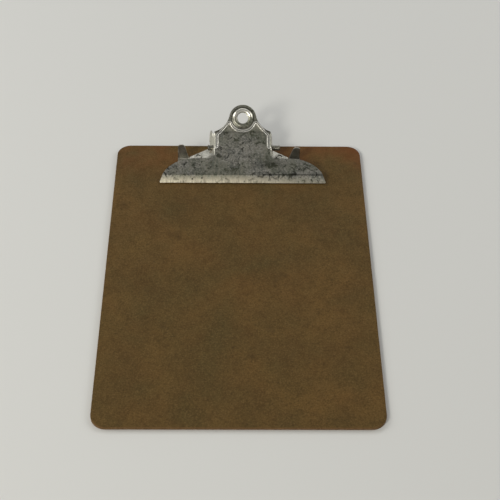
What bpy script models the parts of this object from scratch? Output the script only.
"""Hardboard clipboard, 9 by 12.5 inches, with a 6 inch spring clip of stamped steel.

The origin is the centre of the board's back face. +Z comes out of the writing face, +Y points
towards the clip and +X to the right of someone who writes on it. Lengths are in metres.

A base plate is riveted to the board. Two ears folded up from it carry a hinge pin along X, and
the clamp lever turns on that pin: pressing the thumb tab down lifts the jaw off the board, and
a torsion spring wound round the pin closes it again.
"""

import math

import bmesh
import bpy
from mathutils import Matrix, Vector
from mathutils.geometry import interpolate_bezier

# Fits
SEAT_GAP = 0.0003  # between two pieces that rest on each other
PIN_PLAY = 0.0002  # radial, between the hinge pin and its holes
ARC_STEPS = 8  # straight steps in a quarter turn of an outline

# Board
BOARD_WIDTH = 0.2286
BOARD_LENGTH = 0.3175
BOARD_THICKNESS = 0.0032
BOARD_CORNER = 0.012
BOARD_EDGE = 0.0004

# Hinge
PIN_INSET = 0.0125  # from the board's far edge to the pin's axis
PIN_HEIGHT = 0.009  # from the board's face to the pin's axis
PIN_RADIUS = 0.0023
PIN_OVERHANG = 0.0074  # how far each end of the pin stands out past the lever's neck
PIN_HEAD_STEP = 0.0004  # how much larger in radius the peened ends are
PIN_HEAD_LENGTH = 0.0016
PIN_DOME = 0.0009  # height of the domed ends
PIN_SHIFT = 0.0046  # how far the pin sits to the right in its holes
LEVER_SHIFT = 0.0035  # how far the lever sits to the right on the pin
MOST_OPENING = math.radians(40)

# Clamp lever
SHEET = 0.0009
PANEL_RISE = 0.0056  # from the pin's axis square up to the rim of the panel
PANEL_SLOPE = math.radians(14.9)
NECK_WIDTH = 0.0532
NECK_FILLET = 0.0025
JAW_WIDTH = 0.1528
JAW_TAPER = 0.0026  # each end of the jaw draws in by this up its lip
JAW_BACK = 0.0165  # from the pin's axis forward to the back edge of the jaw's wings
JAW_STRAIGHT = 0.042  # half width of the straight part of that edge
WING_BULGE = (0.26, 0.42, 1.08)  # the wings' curve, as shares of the jaw's depth
LIP_REACH = 0.0330  # along the panel, from the pin to the lip's bend
LIP_SLOPE = math.radians(46)
LIP_BEND = 0.0016
THUMB_REACH = 0.0139  # along the panel, from the pin to the thumb tab's bend
THUMB_SLOPE = math.radians(40)
THUMB_BEND = 0.004
LOBE_REACH = 0.0132  # along the thumb tab, from its bend to the hanging hole
LOBE_RADIUS = 0.0127
FLARE_RADIUS = 0.020
SHOULDER_REACH = 0.0005  # along the thumb tab, from its bend to the shoulders
HOLE_RADIUS = 0.0051
BEAD_RADIUS = 0.0070  # to the crest of the bead round the hole
BEAD_WIDTH = 0.0058
BEAD_HEIGHT = 0.0009
FIELD_WIDTH = 0.0476  # middle of the panel, which is on one level with the jaw
FIELD_HEIGHT = 0.0006  # over the rim of the panel and the thumb tab
FIELD_FOOT = 0.0038  # the rim begins this far in front of the pin
RIM_LAP = 0.00015  # the rim's edges stand this far outside those of the level above
FIELD_SHOULDER = 0.0104  # its upper corners lie this far behind the pin
FIELD_PEAK = 0.0118  # half the distance between its two peaks
FIELD_ARC = 0.0124  # radius of its hollow top edge, round the hanging hole
FLANGE_SPLAY_LEFT = math.radians(26)  # bent out by use
FLANGE_SPLAY_RIGHT = math.radians(9)
FLANGE_INSET = 0.0003  # the flanges' outer faces lie this far inside the neck's edges
FLANGE_ROOT = 0.6  # how deep in the neck's sheet a flange's front end starts, as a share of it
FLANGE_FRONT = 0.0105  # from the pin's axis forward to the flange's front end
FLANGE_EYE = 0.0055
FLANGE_HEEL = 0.0102  # from the pin's axis to the heel that stops the lever
HEEL_RADIUS = 0.0012
HORN_REACH = 0.0050  # the bent flange's rear corner stands this far behind its shoulder
HORN_DROP = 0.0034
HORN_RADIUS = 0.0008

# Base plate
PLATE_FRONT = 0.017  # from the pin's axis forward to the plate's front edge
PLATE_BACK = 0.0105
PLATE_WIDTH = 0.114
PLATE_WAIST = 0.0466
PLATE_CORNER = 0.003
STOP_SETBACK = 0.0065  # from the pin's axis forward to the paper stops
STOP_WIDTH = 0.0102
STOP_TOP_WIDTH = 0.0054
STOP_HEIGHT = 0.0170
STOP_TOP_CORNER = 0.0024
STOP_NOTCH = 0.0006  # radius of the relief notch beside each stop's fold
STOP_LEAN_LEFT = math.radians(0)
STOP_LEAN_RIGHT = math.radians(11)  # bent forward by use
EAR_CLEARANCE = 0.0005  # between an ear and the flange beside it
EAR_RADIUS = 0.0042
EAR_FOOT = 0.0125
WINDOW_LENGTH = 0.0128  # the opening that each ear was folded out of

# Torsion spring
WIRE_RADIUS = 0.0008
COIL_GAP = 0.00035  # radial, between the coil and the pin
COIL_TURNS = 16
COIL_PITCH = 0.0019
COIL_STEPS = 12
BASE_LEG = 0.0085
LEVER_LEG = 0.0115

# Rivets
RIVET_SPACING = 0.0762
RIVET_SETBACK = 0.0038  # from the pin's axis forward to the rivets
SHANK_RADIUS = 0.0030
SHANK_BORE = 0.0023
ROLL_RADIUS = 0.0042
ROLL_HEIGHT = 0.0009
HEAD_RADIUS = 0.0050
HEAD_HEIGHT = 0.0010
HEAD_DOME = 0.0003

PIN_Y = BOARD_LENGTH / 2 - PIN_INSET
PIN_Z = BOARD_THICKNESS + PIN_HEIGHT
PIN_LENGTH = NECK_WIDTH + 2 * PIN_OVERHANG
PIN_HEAD_RADIUS = PIN_RADIUS + PIN_HEAD_STEP
EAR_SPACING = NECK_WIDTH - 2 * (FLANGE_INSET + SHEET + LEVER_SHIFT + EAR_CLEARANCE)
PLATE_BOTTOM = BOARD_THICKNESS + SEAT_GAP
PLATE_TOP = PLATE_BOTTOM + SHEET
RIVET_Y = PIN_Y - RIVET_SETBACK
STEEP = Matrix(((0, 0, 1, 0), (1, 0, 0, 0), (0, 1, 0, 0), (0, 0, 0, 1)))  # draws in the YZ plane
UPRIGHT = Matrix(((1, 0, 0, 0), (0, 0, -1, 0), (0, 1, 0, 0), (0, 0, 0, 1)))  # draws in the XZ plane


# Scene


def clear_scene():
    for obj in list(bpy.data.objects):
        bpy.data.objects.remove(obj, do_unlink=True)


def new_collection(name):
    collection = bpy.data.collections.new(name)
    bpy.context.scene.collection.children.link(collection)
    return collection


def new_material(name, color, roughness, metallic):
    material = bpy.data.materials.new(name)
    material.use_nodes = True
    shader = material.node_tree.nodes["Principled BSDF"]
    shader.inputs["Base Color"].default_value = (*color, 1)
    shader.inputs["Roughness"].default_value = roughness
    shader.inputs["Metallic"].default_value = metallic
    material.diffuse_color = (*color, 1)
    return material


def new_object(name, mesh, collection, matrix=None):
    obj = bpy.data.objects.new(name, mesh)
    collection.objects.link(obj)
    if matrix is not None:
        obj.matrix_world = matrix
    return obj


def make_helper(obj):
    obj.hide_render = True
    obj.display_type = "WIRE"
    return obj


def finish(obj, material):
    obj.data.materials.append(material)
    obj.data.shade_smooth()
    obj.data.set_sharp_from_angle(angle=math.radians(35))
    return obj


def boolean(obj, other, operation):
    modifier = obj.modifiers.new(other.name, "BOOLEAN")
    modifier.object = other
    modifier.operation = operation
    modifier.solver = "EXACT"


def set_origin(obj, place):
    """Moves the object's origin without moving its shape."""
    place = Vector(place)
    obj.data.transform(Matrix.Translation(obj.location - place))
    obj.location = place


# Outlines


def arc(centre, radius, start, end, steps=ARC_STEPS):
    """Points along an arc, ends included; the angles are in radians."""
    turn = [start + (end - start) * i / steps for i in range(steps + 1)]
    return [(centre[0] + radius * math.cos(a), centre[1] + radius * math.sin(a)) for a in turn]


def rounded(corners, steps=ARC_STEPS):
    """A closed outline from (x, y, radius) corners, each rounded by its radius."""
    points = []
    for i, (x, y, radius) in enumerate(corners):
        here = Vector((x, y))
        if radius == 0:
            points.append((x, y))
            continue
        back = (Vector(corners[i - 1][:2]) - here).normalized()
        ahead = (Vector(corners[(i + 1) % len(corners)][:2]) - here).normalized()
        half = back.angle(ahead) / 2
        centre = here + (back + ahead).normalized() * radius / math.sin(half)
        first = here + back * radius / math.tan(half) - centre
        last = here + ahead * radius / math.tan(half) - centre
        start = math.atan2(first.y, first.x)
        sweep = (math.atan2(last.y, last.x) - start + math.pi) % math.tau - math.pi
        points += arc(centre, radius, start, start + sweep, steps)
    return points


def mirrored(points):
    """Adds the left half to the right half of an outline, which runs from front to back."""
    return points + [(-x, y) for x, y in reversed(points) if x > SEAT_GAP]


def plate(name, outline, thickness, collection, matrix=None):
    """A flat plate of this outline, half its thickness either side of its plane."""
    curve = bpy.data.curves.new(name, "CURVE")
    curve.dimensions = "2D"
    curve.fill_mode = "BOTH"
    curve.extrude = thickness / 2
    spline = curve.splines.new("POLY")
    spline.points.add(len(outline) - 1)
    for point, (x, y) in zip(spline.points, outline):
        point.co = (x, y, 0, 1)
    spline.use_cyclic_u = True
    drawn = new_object(name + "_outline", curve, collection)
    bpy.context.view_layer.update()
    graph = bpy.context.evaluated_depsgraph_get()
    mesh = bpy.data.meshes.new_from_object(drawn.evaluated_get(graph))
    bpy.data.objects.remove(drawn, do_unlink=True)
    bpy.data.curves.remove(curve)
    shape = bmesh.new()
    shape.from_mesh(mesh)
    bmesh.ops.remove_doubles(shape, verts=shape.verts, dist=1e-6)
    bmesh.ops.recalc_face_normals(shape, faces=shape.faces)
    shape.to_mesh(mesh)
    shape.free()
    mesh.name = name
    return new_object(name, mesh, collection, matrix)


def cylinder(name, radius, depth, collection, matrix, steps=32):
    shape = bmesh.new()
    bmesh.ops.create_cone(
        shape, cap_ends=True, segments=steps, radius1=radius, radius2=radius, depth=depth
    )
    mesh = bpy.data.meshes.new(name)
    shape.to_mesh(mesh)
    shape.free()
    return make_helper(new_object(name, mesh, collection, matrix))


def turned(name, profile, collection, matrix, steps=32):
    """A profile of (radius, height) points, top to bottom, turned once about its own Z."""
    mesh = bpy.data.meshes.new(name)
    edges = [(i, i + 1) for i in range(len(profile) - 1)]
    mesh.from_pydata([(r, 0, z) for r, z in profile], edges, [])
    obj = new_object(name, mesh, collection, matrix)
    screw = obj.modifiers.new("turn", "SCREW")
    screw.steps = steps
    screw.render_steps = steps
    screw.use_merge_vertices = True
    screw.merge_threshold = 1e-6
    screw.use_smooth_shade = True
    return obj


# Board


def make_board(parts, tools, material):
    shape = bmesh.new()
    bmesh.ops.create_cube(shape, size=1)
    bmesh.ops.scale(shape, vec=(BOARD_WIDTH, BOARD_LENGTH, BOARD_THICKNESS), verts=shape.verts)
    bmesh.ops.translate(shape, vec=(0, 0, BOARD_THICKNESS / 2), verts=shape.verts)
    upright = [e for e in shape.edges if abs(e.verts[0].co.z - e.verts[1].co.z) > SEAT_GAP]
    bmesh.ops.bevel(
        shape, geom=upright, offset=BOARD_CORNER, segments=ARC_STEPS, profile=0.5, affect="EDGES"
    )
    mesh = bpy.data.meshes.new("board")
    shape.to_mesh(mesh)
    shape.free()
    board = new_object("board", mesh, parts)
    edge = board.modifiers.new("edge", "BEVEL")
    edge.width = BOARD_EDGE
    edge.segments = 2
    edge.limit_method = "ANGLE"
    edge.angle_limit = math.radians(50)
    for side in (-1, 1):
        place = Matrix.Translation((side * RIVET_SPACING / 2, RIVET_Y, 0))
        hole = cylinder(f"board_hole_{side}", SHANK_RADIUS + SEAT_GAP, 4 * BOARD_THICKNESS, tools, place)
        boolean(board, hole, "DIFFERENCE")
        seat_depth = HEAD_HEIGHT + SEAT_GAP
        seat = cylinder(f"board_seat_{side}", HEAD_RADIUS + SEAT_GAP, 2 * seat_depth, tools, place)
        boolean(board, seat, "DIFFERENCE")
    return finish(board, material)


# Base plate


def plate_outline():
    """Right half, from the front edge round the wing to the back edge."""
    front = PIN_Y - PLATE_FRONT
    fold = PIN_Y - STOP_SETBACK
    back = PIN_Y + PLATE_BACK
    end = PLATE_WIDTH / 2
    inner = end - STOP_WIDTH
    waist = PLATE_WAIST / 2
    right = rounded(
        [
            (0, front, 0),
            (end, front, PLATE_CORNER),
            (end, fold + SHEET, 0),
            (inner, fold + SHEET, 0),
            (inner, fold + SHEET + 2 * STOP_NOTCH, STOP_NOTCH),
            (waist, back, PLATE_CORNER),
            (0, back, 0),
        ]
    )
    return mirrored([p for p in right if p[0] > 0])


def make_stop(side, tools):
    """A paper stop: an upright tongue at the end of the wing, with its outer edge upright."""
    outer = PLATE_WIDTH / 2
    outline = rounded(
        [
            (side * outer, -SHEET / 2, 0),
            (side * (outer - SHEET / 2), STOP_HEIGHT, STOP_TOP_CORNER),
            (side * (outer - SHEET / 2 - STOP_TOP_WIDTH), STOP_HEIGHT, STOP_TOP_CORNER),
            (side * (outer - STOP_WIDTH), -SHEET / 2, 0),
        ]
    )
    lean = Matrix.Rotation(STOP_LEAN_LEFT if side < 0 else STOP_LEAN_RIGHT, 4, "X")
    place = Matrix.Translation((0, PIN_Y - STOP_SETBACK + SHEET / 2, PLATE_TOP)) @ lean @ UPRIGHT
    return make_helper(plate(f"paper_stop_{side}", outline, SHEET, tools, place))


def make_ear(side, tools):
    """An ear that holds the pin: a foot as wide as EAR_FOOT, closing in to a round eye."""
    rise = PIN_Z - PLATE_TOP
    outline = [(-EAR_FOOT / 2, -rise - SHEET / 2)]
    outline += [(EAR_FOOT / 2, -rise - SHEET / 2)]
    outline += arc((0, 0), EAR_RADIUS, math.radians(15), math.radians(165), 2 * ARC_STEPS)
    middle = side * (EAR_SPACING / 2 - SHEET / 2)
    place = Matrix.Translation((middle, PIN_Y, PIN_Z)) @ STEEP
    return make_helper(plate(f"ear_{side}", outline, SHEET, tools, place))


def make_base_plate(parts, tools, material):
    middle = Matrix.Translation((0, 0, (PLATE_TOP + PLATE_BOTTOM) / 2))
    base = plate("base_plate", plate_outline(), SHEET, parts, middle)
    for side in (-1, 1):
        inner = EAR_SPACING / 2 - SHEET
        window = rounded(
            [
                (side * inner, PIN_Y - EAR_FOOT / 2, 0),
                (side * inner, PIN_Y + EAR_FOOT / 2, 0),
                (side * (inner - WINDOW_LENGTH), PIN_Y + EAR_FOOT / 4, SHEET),
                (side * (inner - WINDOW_LENGTH), PIN_Y - EAR_FOOT / 4, SHEET),
            ]
        )
        boolean(
            base,
            make_helper(plate(f"ear_window_{side}", window, 4 * SHEET, tools, middle)),
            "DIFFERENCE",
        )
        boolean(base, make_ear(side, tools), "UNION")
        boolean(base, make_stop(side, tools), "UNION")
        place = Matrix.Translation((side * RIVET_SPACING / 2, RIVET_Y, PLATE_TOP))
        hole = cylinder(f"plate_hole_{side}", SHANK_RADIUS + SEAT_GAP, 4 * SHEET, tools, place)
        boolean(base, hole, "DIFFERENCE")
    along_x = Matrix.Translation((0, PIN_Y, PIN_Z)) @ Matrix.Rotation(math.pi / 2, 4, "Y")
    bore = cylinder("ear_bore", PIN_RADIUS + PIN_PLAY, 2 * EAR_SPACING, tools, along_x)
    boolean(base, bore, "DIFFERENCE")
    return finish(base, material)


# Clamp lever


def panel_point(along, above=0.0):
    """(y, z) on the panel: along it from the pin, and above its face."""
    rise = PANEL_RISE + above
    return (
        PIN_Y + along * math.cos(PANEL_SLOPE) - rise * math.sin(PANEL_SLOPE),
        PIN_Z + along * math.sin(PANEL_SLOPE) + rise * math.cos(PANEL_SLOPE),
    )


def thumb_frame():
    """The thumb tab's own frame: X across, Y along it from its bend, Z out of its face."""
    y, z = panel_point(THUMB_REACH)
    place = Matrix.Translation((LEVER_SHIFT, y, z))
    return place @ Matrix.Rotation(THUMB_SLOPE, 4, "X")


def jaw_edge(above=0.0):
    """(y, z) of the jaw's edge, where the lip comes down to the board."""
    bend_y, bend_z = panel_point(-LIP_REACH, above)
    edge_z = BOARD_THICKNESS + SEAT_GAP + SHEET * math.cos(LIP_SLOPE)
    return bend_y - (bend_z - edge_z) / math.tan(LIP_SLOPE), edge_z


def lever_path(above=0.0):
    """The side view of the lever's face, from the jaw's edge to past the tip of the tab."""
    bend_y, bend_z = panel_point(-LIP_REACH, above)
    edge_y, edge_z = jaw_edge(above)
    thumb_y, thumb_z = panel_point(THUMB_REACH, above)
    length = LOBE_REACH + LOBE_RADIUS + SHEET
    tip_y = thumb_y + length * math.cos(THUMB_SLOPE)
    tip_z = thumb_z + length * math.sin(THUMB_SLOPE)
    return rounded(
        [
            (edge_y, edge_z, 0),
            (bend_y, bend_z, LIP_BEND),
            (thumb_y, thumb_z, THUMB_BEND),
            (tip_y, tip_z, 0),
        ],
        steps=4,
    )


def bent_sheet(name, path, width, collection):
    """A sheet as wide as this along X, whose face follows the path, open for a Solidify."""
    shape = bmesh.new()
    row = [shape.verts.new((-width / 2, y, z)) for y, z in path]
    edges = [shape.edges.new(pair) for pair in zip(row, row[1:])]
    grown = bmesh.ops.extrude_edge_only(shape, edges=edges)["geom"]
    moved = [v for v in grown if isinstance(v, bmesh.types.BMVert)]
    bmesh.ops.translate(shape, vec=(width, 0, 0), verts=moved)
    mesh = bpy.data.meshes.new(name)
    shape.to_mesh(mesh)
    shape.free()
    if mesh.polygons[0].normal.z < 0:
        mesh.flip_normals()
    sheet = new_object(name, mesh, collection, Matrix.Translation((LEVER_SHIFT, 0, 0)))
    solidify = sheet.modifiers.new("sheet", "SOLIDIFY")
    solidify.thickness = SHEET
    solidify.offset = -1
    solidify.use_even_offset = True
    return sheet


def jaw_outline():
    """Plan of the jaw and the panel's field, which ends in two peaks beside the hanging hole."""
    bend_y, _ = panel_point(-LIP_REACH, FIELD_HEIGHT)
    edge_y, _ = jaw_edge(FIELD_HEIGHT)
    half = JAW_WIDTH / 2
    corner = half - JAW_TAPER
    back = PIN_Y - JAW_BACK
    depth = back - bend_y
    in_x, up_y, out_x = (depth * share for share in WING_BULGE)
    wing = interpolate_bezier(
        Vector((corner, bend_y, 0)),
        Vector((corner - in_x, bend_y + up_y, 0)),
        Vector((JAW_STRAIGHT + out_x, back, 0)),
        Vector((JAW_STRAIGHT, back, 0)),
        2 * ARC_STEPS,
    )
    neck = NECK_WIDTH / 2 - RIM_LAP
    fillet = arc((neck + NECK_FILLET, back + NECK_FILLET), NECK_FILLET, 1.5 * math.pi, math.pi)
    right = [(half + JAW_TAPER, 2 * edge_y - bend_y)]
    right += [(point.x, point.y) for point in wing]
    right += fillet
    right += [(neck, PIN_Y - FIELD_FOOT * math.cos(PANEL_SLOPE))]
    right += field_side(FIELD_WIDTH / 2, 0)
    return mirrored(right)


def thumb_outline():
    """The thumb tab in its own frame: shoulders, hollow flares and the round lobe."""
    neck = NECK_WIDTH / 2
    reach = LOBE_RADIUS + FLARE_RADIUS
    across = Vector((neck, SHOULDER_REACH - LOBE_REACH))
    angle = math.atan2(across.y, across.x)
    # The flare touches the lobe's circle and passes through the shoulder.
    cosine = (reach**2 + across.length**2 - FLARE_RADIUS**2) / (2 * reach * across.length)
    toward = angle + math.acos(cosine)
    centre = Vector((reach * math.cos(toward), LOBE_REACH + reach * math.sin(toward)))
    shoulder = Vector((neck, SHOULDER_REACH)) - centre
    start = math.atan2(shoulder.y, shoulder.x)
    sweep = (toward + math.pi - start + math.pi) % math.tau - math.pi
    right = [(neck - RIM_LAP, -THUMB_BEND)]
    right += arc(centre, FLARE_RADIUS, start, start + sweep)
    right += arc((0, LOBE_REACH), LOBE_RADIUS, toward, math.pi / 2, 2 * ARC_STEPS)[1:]
    return mirrored(right)


def field_side(half, inset):
    """The right edge of the field in plan, up to its hollow middle; inset draws its top edge in."""
    cos_panel = math.cos(PANEL_SLOPE)
    cos_thumb = math.cos(THUMB_SLOPE)
    thumb_y, _ = panel_point(THUMB_REACH)
    hole_y = thumb_y + LOBE_REACH * cos_thumb
    radius = FIELD_ARC + inset
    peak = math.acos(FIELD_PEAK / radius)
    side = [(half, PIN_Y - FIELD_FOOT * cos_panel)]
    side += [(half, PIN_Y + (FIELD_SHOULDER - inset) * cos_panel)]
    side += [(x, hole_y + y * cos_thumb) for x, y in arc((0, 0), radius, -peak, -math.pi / 2)]
    return side


def rim_outline():
    """Plan of the lower sheet beside the field, as far as the thumb tab's bend."""
    front_y, _ = panel_point(-FLANGE_FRONT - SHEET)
    back_y, _ = panel_point(THUMB_REACH)
    neck = NECK_WIDTH / 2
    return mirrored([(0, front_y), (neck, front_y), (neck, back_y), (0, back_y)])


def rim_opening():
    """Plan of the opening in the lower sheet, which the field covers with a lap of SHEET."""
    front_y, _ = panel_point(-FLANGE_FRONT - 2 * SHEET)
    half = FIELD_WIDTH / 2 - SHEET
    return mirrored([(0, front_y), (half, front_y)] + field_side(half, SHEET)[1:])


def flange_outline(horn):
    """Side view of a flange round the pin at (0, 0), from its front end to its rear corner."""
    front_y, front_z = panel_point(-FLANGE_FRONT, -FLANGE_ROOT * SHEET)
    back_y, back_z = panel_point(THUMB_REACH, -SHEET / 2)
    horn_y, horn_z = panel_point(THUMB_REACH + HORN_REACH, -HORN_DROP)
    reach = PIN_Z - PLATE_TOP - SEAT_GAP
    heel = math.asin(reach / FLANGE_HEEL) - MOST_OPENING
    corners = [(0, -FLANGE_EYE, 0)]
    corners += [(FLANGE_HEEL * math.cos(heel), -FLANGE_HEEL * math.sin(heel), HEEL_RADIUS)]
    if horn:
        corners += [(horn_y - PIN_Y, horn_z - PIN_Z, HORN_RADIUS)]
    corners += [(back_y - PIN_Y, back_z - PIN_Z, 0)]
    corners += [(front_y - PIN_Y, front_z - PIN_Z, 0)]
    eye = arc((0, 0), FLANGE_EYE, math.radians(200), math.radians(270))
    return eye + rounded(corners)[1:]


def make_flange(side, splay, horn, tools):
    """A flange folded down from the side of the neck, and splayed outwards at its foot."""
    y, z = panel_point(0, -SHEET / 2)
    fold = (NECK_WIDTH - SHEET) / 2 - FLANGE_INSET
    hinge = Matrix.Translation((LEVER_SHIFT + side * fold, y, z))
    tilt = Matrix.Rotation(PANEL_SLOPE, 4, "X")
    swing = Matrix.Rotation(-side * splay, 4, "Y")
    place = hinge @ tilt @ swing @ tilt.inverted() @ Matrix.Translation((0, PIN_Y - y, PIN_Z - z))
    return make_helper(plate(f"flange_{side}", flange_outline(horn), SHEET, tools, place @ STEEP))


def make_lever(parts, tools, material):
    across = Matrix.Translation((LEVER_SHIFT, 0, PIN_Z))
    tall = 4 * PIN_Z
    stock = JAW_WIDTH + 4 * JAW_TAPER
    lever = bent_sheet("clamp_lever", lever_path(FIELD_HEIGHT), stock, parts)
    blank = make_helper(plate("jaw_blank", jaw_outline(), tall, tools, across))
    boolean(lever, blank, "INTERSECT")
    # The rim round the field and the thumb tab are pressed down to a lower level of the sheet.
    rim = make_helper(bent_sheet("rim", lever_path(), NECK_WIDTH + 2 * SHEET, tools))
    rim_blank = make_helper(plate("rim_blank", rim_outline(), tall, tools, across))
    thumb = make_helper(plate("thumb_blank", thumb_outline(), 6 * SHEET, tools, thumb_frame()))
    opening = make_helper(plate("rim_opening", rim_opening(), 2 * tall, tools, across))
    boolean(rim_blank, thumb, "UNION")
    boolean(rim_blank, opening, "DIFFERENCE")
    boolean(rim, rim_blank, "INTERSECT")
    boolean(lever, rim, "UNION")
    hole_frame = thumb_frame() @ Matrix.Translation((0, LOBE_REACH, 0))
    boolean(lever, make_bead(tools, hole_frame), "UNION")
    boolean(lever, cylinder("hanging_hole", HOLE_RADIUS, 8 * SHEET, tools, hole_frame, 40), "DIFFERENCE")
    boolean(lever, make_flange(-1, FLANGE_SPLAY_LEFT, True, tools), "UNION")
    boolean(lever, make_flange(1, FLANGE_SPLAY_RIGHT, False, tools), "UNION")
    along_x = Matrix.Translation((0, PIN_Y, PIN_Z)) @ Matrix.Rotation(math.pi / 2, 4, "Y")
    bore = cylinder("flange_bore", PIN_RADIUS + PIN_PLAY, 2 * NECK_WIDTH, tools, along_x)
    boolean(lever, bore, "DIFFERENCE")
    set_origin(lever, (0, PIN_Y, PIN_Z))
    return finish(lever, material)


def make_bead(tools, hole_frame):
    """The rounded bead pressed up round the hanging hole, sunk a little into the tab."""
    half = BEAD_WIDTH / 2
    sunk = SHEET / 2
    crest = arc((0, 0), half, math.pi, 0, ARC_STEPS)
    profile = [(BEAD_RADIUS + x, z * (BEAD_HEIGHT + sunk) / half - sunk) for x, z in crest]
    return make_helper(turned("hole_bead", profile + profile[:1], tools, hole_frame, 40))


# Pin, spring and rivets


def make_pin(parts, material):
    half = PIN_LENGTH / 2
    dome = arc((0, 0), 1, math.pi / 2, 0, 4)
    top = [(PIN_HEAD_RADIUS * r, half - PIN_DOME * (1 - h)) for r, h in dome]
    neck = half - PIN_HEAD_LENGTH
    upper = top + [(PIN_HEAD_RADIUS, neck), (PIN_RADIUS, neck)]
    lower = [(r, -h) for r, h in reversed(upper)]
    place = Matrix.Translation((PIN_SHIFT, PIN_Y, PIN_Z)) @ Matrix.Rotation(math.pi / 2, 4, "Y")
    return finish(turned("hinge_pin", upper + lower, parts, place), material)


def spring_path():
    """The wire's middle line: base leg, coil round the pin, then the leg under the lever."""
    radius = PIN_RADIUS + COIL_GAP + WIRE_RADIUS
    left = -COIL_TURNS * COIL_PITCH / 2
    # The base leg is a tangent that ends on the base plate.
    end_z = PLATE_TOP + SEAT_GAP + WIRE_RADIUS - PIN_Z
    reach = math.hypot(BASE_LEG, end_z)
    base_angle = math.atan2(end_z, BASE_LEG) - math.acos(radius / reach)
    # The lever leg is a tangent that ends under the panel.
    under = PANEL_RISE - SHEET - SEAT_GAP - WIRE_RADIUS
    far = math.hypot(LEVER_LEG, under)
    lever_angle = PANEL_SLOPE + math.atan2(under, LEVER_LEG) + math.acos(radius / far)
    turns = COIL_TURNS + (base_angle - lever_angle) % math.tau / math.tau
    steps = round(turns * COIL_STEPS)
    points = [(left, PIN_Y + BASE_LEG, PIN_Z + end_z)]
    for i in range(steps + 1):
        angle = base_angle - math.tau * turns * i / steps
        x = left + COIL_PITCH * turns * i / steps
        points.append((x, PIN_Y + radius * math.cos(angle), PIN_Z + radius * math.sin(angle)))
    y, z = panel_point(LEVER_LEG, under - PANEL_RISE)
    points.append((points[-1][0], y, z))
    return points


def make_spring(parts, material):
    curve = bpy.data.curves.new("torsion_spring", "CURVE")
    curve.dimensions = "3D"
    curve.bevel_depth = WIRE_RADIUS
    curve.bevel_resolution = 2
    curve.use_fill_caps = True
    points = spring_path()
    spline = curve.splines.new("POLY")
    spline.points.add(len(points) - 1)
    for point, place in zip(spline.points, points):
        point.co = (*place, 1)
    spline.use_smooth = True
    curve.materials.append(material)
    spring = new_object("torsion_spring", curve, parts)
    return spring


def make_rivet(name, side, parts, material):
    """A semi-tubular rivet: domed head sunk in the board's back, end rolled over the plate."""
    seat = PLATE_TOP + SEAT_GAP
    roll = arc(((ROLL_RADIUS + SHANK_BORE) / 2, 0), (ROLL_RADIUS - SHANK_BORE) / 2, math.pi, 0)
    profile = [(0, PLATE_BOTTOM - SHEET)]
    profile += [(SHANK_BORE, PLATE_BOTTOM - SHEET)]
    profile += [(r, seat + h * ROLL_HEIGHT / ((ROLL_RADIUS - SHANK_BORE) / 2)) for r, h in roll]
    profile += [(SHANK_RADIUS, seat), (SHANK_RADIUS, HEAD_HEIGHT)]
    profile += [(HEAD_RADIUS, HEAD_HEIGHT), (HEAD_RADIUS, HEAD_DOME)]
    profile += [(HEAD_RADIUS * math.cos(a), HEAD_DOME * (1 - math.sin(a))) for a in dome_angles()]
    place = Matrix.Translation((side * RIVET_SPACING / 2, RIVET_Y, 0))
    return finish(turned(name, profile, parts, place), material)


def dome_angles(steps=4):
    return [math.pi / 2 * (i + 1) / steps for i in range(steps)]


def main():
    clear_scene()
    parts = new_collection("clipboard")
    tools = new_collection("clipboard_tools")
    hardboard = new_material("hardboard", (0.10, 0.062, 0.024), 0.75, 0.0)
    plated_steel = new_material("plated_steel", (0.32, 0.31, 0.28), 0.38, 1.0)
    pale_steel = new_material("pale_steel", (0.42, 0.42, 0.38), 0.45, 1.0)
    spring_steel = new_material("spring_steel", (0.22, 0.21, 0.20), 0.4, 1.0)
    make_board(parts, tools, hardboard)
    make_base_plate(parts, tools, pale_steel)
    make_lever(parts, tools, plated_steel)
    make_pin(parts, plated_steel)
    make_spring(parts, spring_steel)
    make_rivet("rivet_left", -1, parts, pale_steel)
    make_rivet("rivet_right", 1, parts, pale_steel)


main()
